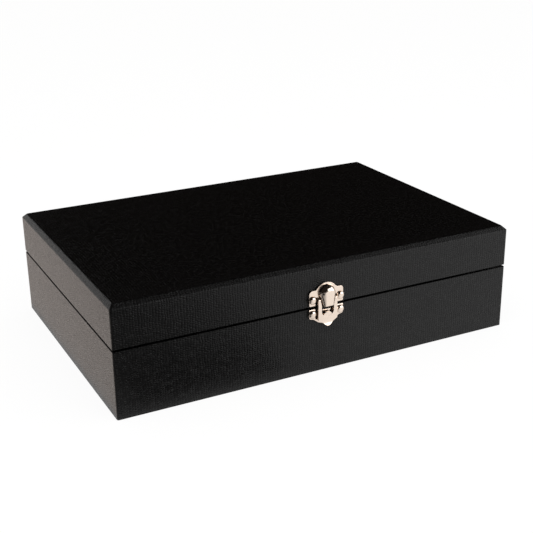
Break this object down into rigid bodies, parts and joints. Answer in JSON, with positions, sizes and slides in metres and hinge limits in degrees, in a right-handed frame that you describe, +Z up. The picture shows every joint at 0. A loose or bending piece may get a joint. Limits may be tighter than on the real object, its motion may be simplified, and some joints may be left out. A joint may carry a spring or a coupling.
{
  "type": "cufflink box",
  "caption": "Low rectangular leatherette box with a hinged bevelled lid, a velvet tray of compartments for cufflinks and a nickel front clasp.",
  "frame": {"origin": "middle of the underside, where the box rests on a table", "axes": "+X along the box's length, to the right as seen from the clasp; +Y from the clasp side to the hinge side; +Z up"},
  "size_m": [0.29, 0.2067, 0.0756],
  "materials": {
    "leatherette": "fine embossed grain, satin black",
    "board": "raw fibreboard",
    "velvet": "short flocked pile, black",
    "felt": "pressed felt",
    "nickel": "bright nickel plate",
    "steel": "plain"
  },
  "bodies": {
    "base": {"base_front_board": "board", "base_back_board": "board", "base_left_board": "board", "base_right_board": "board", "base_floor_board": "board", "base_cover": "leatherette", "base_bottom_sheet": "felt", "base_lining": "velvet", "base_floor_pad": "velvet", "divider_long_1": "velvet", "divider_long_2": "velvet", "divider_long_3": "velvet", "divider_cross_1": "velvet", "divider_cross_2": "velvet", "divider_cross_3": "velvet", "divider_cross_4": "velvet", "divider_cross_5": "velvet", "clasp_base_plate": "nickel", "clasp_pin_3": "nickel", "clasp_pin_4": "nickel", "hinge_left_base_leaf": "nickel", "hinge_left_pin": "steel", "hinge_left_base_screw_1": "steel", "hinge_left_base_screw_2": "steel", "hinge_right_base_leaf": "nickel", "hinge_right_pin": "steel", "hinge_right_base_screw_1": "steel", "hinge_right_base_screw_2": "steel"},
    "lid": {"lid_front_board": "board", "lid_back_board": "board", "lid_left_board": "board", "lid_right_board": "board", "lid_top_board": "board", "lid_cover": "leatherette", "lid_lining": "velvet", "lid_pad": "velvet", "clasp_lid_plate": "nickel", "clasp_pivot": "steel", "clasp_pin_1": "nickel", "clasp_pin_2": "nickel", "hinge_left_lid_leaf": "nickel", "hinge_left_lid_screw_1": "steel", "hinge_left_lid_screw_2": "steel", "hinge_right_lid_leaf": "nickel", "hinge_right_lid_screw_1": "steel", "hinge_right_lid_screw_2": "steel"},
    "hasp": {"clasp_hasp": "nickel"}
  },
  "joints": [
    {"name": "lid_hinge", "type": "hinge", "parent": "base", "child": "lid", "pos_m": [0, 0.10075, 0.0461], "axis": [-1, 0, 0], "range_deg": [0, 95]},
    {"name": "hasp_pivot", "type": "hinge", "parent": "lid", "child": "hasp", "pos_m": [-0.0007, -0.10065, 0.0514], "axis": [-1, 0, 0], "range_deg": [0, 100]}
  ]
}
